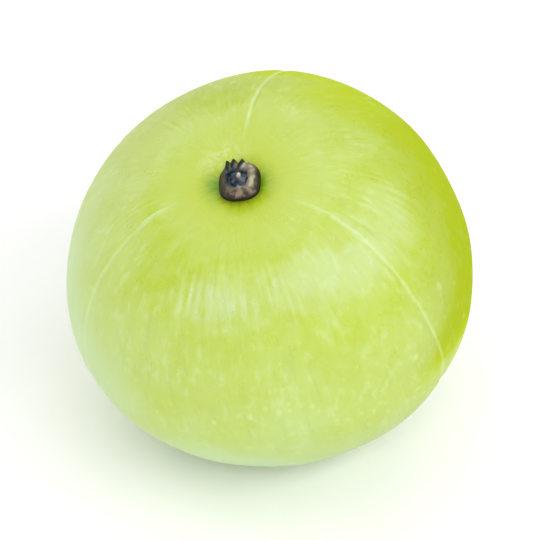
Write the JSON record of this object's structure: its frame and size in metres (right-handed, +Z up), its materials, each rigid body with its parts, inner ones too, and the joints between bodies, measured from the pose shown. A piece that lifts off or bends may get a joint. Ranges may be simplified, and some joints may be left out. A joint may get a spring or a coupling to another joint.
{
  "type": "indian gooseberry",
  "caption": "Whole pale green Indian gooseberry (amla), slightly flattened, with faint seam lines, soft lobes and a dry brown stem stub, resting on a small flat spot.",
  "frame": {"origin": "centre of the small flat spot that the fruit rests on", "axes": "+Z up; the stem axis leans 23.8 degrees from +Z, towards -Y and a little towards -X, so the stem faces a viewer who stands at -Y and looks down"},
  "size_m": [0.0359, 0.0355, 0.0324],
  "materials": {
    "fruit_skin": "smooth waxy yellow-green fruit skin, translucent, with a soft gloss, fine pale speckles and paler seam lines",
    "dry_stem": "dry wrinkled grey-brown stem end with a dark hollow and dark pointed calyx teeth"
  },
  "bodies": {
    "root": {"fruit": "fruit_skin", "stem_stub": "dry_stem"}
  },
  "joints": []
}
